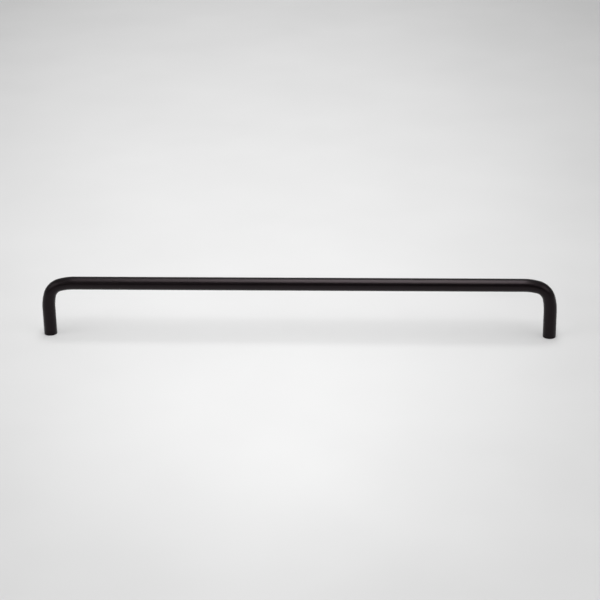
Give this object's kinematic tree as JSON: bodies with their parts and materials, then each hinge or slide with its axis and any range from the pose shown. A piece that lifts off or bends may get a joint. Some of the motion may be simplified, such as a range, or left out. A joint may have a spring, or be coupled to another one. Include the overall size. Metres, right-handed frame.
{
  "type": "wire cabinet pull",
  "caption": "Slim straight cabinet pull made of one round steel bar bent down at both ends, with a tapped hole in each foot for a screw from behind the drawer front.",
  "frame": {"origin": "on the mounting plane, midway between the two screw holes", "axes": "+X along the grip, +Y across it, the way the fingers reach under, +Z out from the mounting plane towards the grip"},
  "size_m": [0.3128, 0.008, 0.0375],
  "materials": {
    "black_coat": "matte black powder coat with a fine even texture"
  },
  "bodies": {
    "root": {"wire_pull": "black_coat"}
  },
  "joints": []
}
